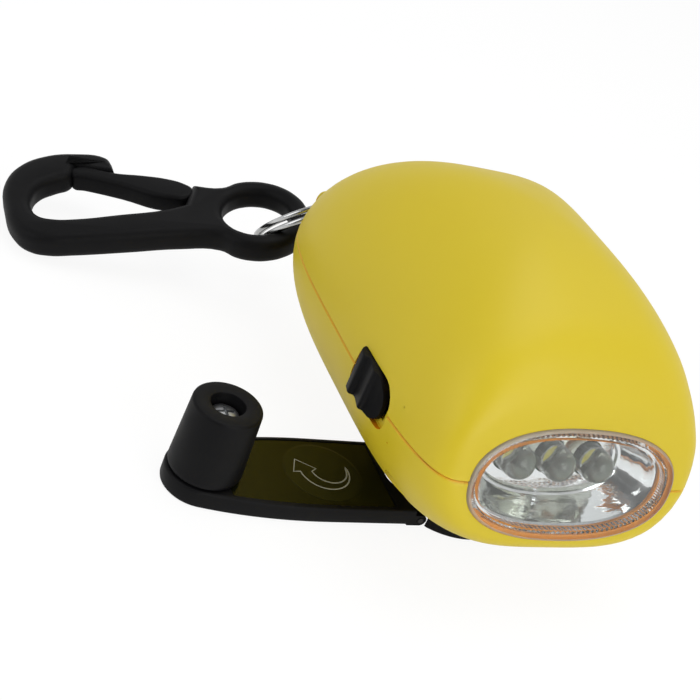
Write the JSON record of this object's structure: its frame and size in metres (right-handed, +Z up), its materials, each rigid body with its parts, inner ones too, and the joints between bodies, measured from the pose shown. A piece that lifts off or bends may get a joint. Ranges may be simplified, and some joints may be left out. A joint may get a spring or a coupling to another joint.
{
  "type": "hand crank flashlight",
  "caption": "Pocket flashlight with a pebble shaped shell, a fold-out crank arm that drives a geared generator, a slide switch, and a split ring with a snap hook.",
  "frame": {"origin": "centre of the flat boss under the crank hub, on the crank's axis, in the plane that the hub and the crank arm lie on", "axes": "+Z up along the crank's axis, the lens looks along -Y, the split ring hangs at the +Y end, and the crank arm points along -X"},
  "size_m": [0.0893, 0.1058, 0.0499],
  "materials": {
    "yellow_plastic": "satin moulded ABS",
    "black_plastic": "satin moulded nylon",
    "clear_plastic": "clear moulded polycarbonate",
    "reflector_chrome": "vacuum metallised ABS",
    "led_resin": "clear epoxy",
    "screw_steel": "zinc plated steel",
    "ring_steel": "nickel plated spring steel",
    "label_film": "dark glossy polyester film",
    "gear_nylon": "natural nylon",
    "bush_brass": "turned brass",
    "plate_steel": "zinc plated sheet steel",
    "core_steel": "stacked laminations",
    "magnet_ferrite": "sintered ferrite in resin",
    "coil_copper": "enamelled copper wire",
    "bobbin_plastic": "moulded nylon",
    "tray_plastic": "moulded ABS",
    "cell_steel": "nickel plated can",
    "board_laminate": "glass fibre laminate with green resist",
    "capacitor_sleeve": "shrunk sleeve"
  },
  "bodies": {
    "housing": {"upper_shell": "yellow_plastic", "lower_shell": "yellow_plastic", "shell_screw_1": "screw_steel", "shell_screw_2": "screw_steel", "shell_screw_3": "screw_steel", "shell_screw_4": "screw_steel", "lens": "clear_plastic", "reflector": "reflector_chrome", "led_left": "led_resin", "led_centre": "led_resin", "led_right": "led_resin", "led_board": "board_laminate", "switch_body": "plate_steel", "crank_bush": "bush_brass", "idler_axle_1": "screw_steel", "idler_axle_2": "screw_steel", "gear_plate": "plate_steel", "plate_screw_1": "screw_steel", "plate_screw_2": "screw_steel", "plate_screw_3": "screw_steel", "stator_core": "core_steel", "coil_bobbin": "bobbin_plastic", "stator_coil": "coil_copper", "bearing_bridge": "bush_brass", "cell_holder": "tray_plastic", "cell_1": "cell_steel", "cell_2": "cell_steel", "cell_3": "cell_steel", "circuit_board": "board_laminate", "capacitor": "capacitor_sleeve", "board_screw_1": "screw_steel", "board_screw_2": "screw_steel"},
    "crank": {"crank_hub": "black_plastic", "drive_gear": "gear_nylon", "hub_screw": "screw_steel", "hinge_pin": "screw_steel"},
    "arm": {"crank_arm": "black_plastic", "arm_label": "label_film", "knob_screw": "screw_steel"},
    "knob": {"crank_knob": "black_plastic"},
    "first_idler": {"idler_gear_1": "gear_nylon"},
    "second_idler": {"idler_gear_2": "gear_nylon"},
    "rotor": {"rotor_shaft": "screw_steel", "rotor_magnet": "magnet_ferrite"},
    "slider": {"switch_slider": "black_plastic"},
    "ring": {"split_ring": "ring_steel"},
    "hook": {"snap_hook": "black_plastic"},
    "gate": {"hook_gate": "black_plastic"}
  },
  "joints": [
    {"name": "crank_turn", "type": "hinge", "parent": "housing", "child": "crank", "pos_m": [0, 0, 0], "axis": [0, 0, 1], "continuous": true},
    {"name": "arm_fold", "type": "hinge", "parent": "crank", "child": "arm", "pos_m": [-0.0084, 0, 0.001], "axis": [0, -1, 0], "range_deg": [0, 180]},
    {"name": "knob_spin", "type": "hinge", "parent": "arm", "child": "knob", "pos_m": [-0.043, 0, 0.0033], "axis": [0, 0, 1], "continuous": true},
    {"name": "first_idler_turn", "type": "hinge", "parent": "housing", "child": "first_idler", "pos_m": [0.0064, 0.01553, 0], "axis": [0, 0, 1], "continuous": true},
    {"name": "second_idler_turn", "type": "hinge", "parent": "housing", "child": "second_idler", "pos_m": [-0.008, 0.01553, 0], "axis": [0, 0, 1], "continuous": true},
    {"name": "rotor_turn", "type": "hinge", "parent": "housing", "child": "rotor", "pos_m": [-0.0052, 0.00386, 0], "axis": [0, 0, 1], "continuous": true},
    {"name": "switch_slide", "type": "slide", "parent": "housing", "child": "slider", "axis": [0, -1, 0], "range_m": [0, 0.002]},
    {"name": "ring_swing", "type": "hinge", "parent": "housing", "child": "ring", "pos_m": [-0.01266, 0.04835, 0.02321], "axis": [0.9448, 0.2401, 0.2231], "range_deg": [-2, 70]},
    {"name": "hook_swing", "type": "hinge", "parent": "ring", "child": "hook", "pos_m": [-0.0214, 0.05227, 0.01388], "axis": [-0.0254, -0.6521, 0.7577], "range_deg": [-28, 2]},
    {"name": "gate_open", "type": "hinge", "parent": "hook", "child": "gate", "pos_m": [-0.03257, 0.06343, 0.0117], "axis": [-0.2837, -0.0974, 0.954], "range_deg": [0, 22], "stiffness_Nm_per_rad": 0.05}
  ],
  "couplings": [
    {"joint": "first_idler_turn", "follows": "crank_turn", "ratio": -3},
    {"joint": "second_idler_turn", "follows": "crank_turn", "ratio": 9},
    {"joint": "rotor_turn", "follows": "crank_turn", "ratio": -27}
  ]
}
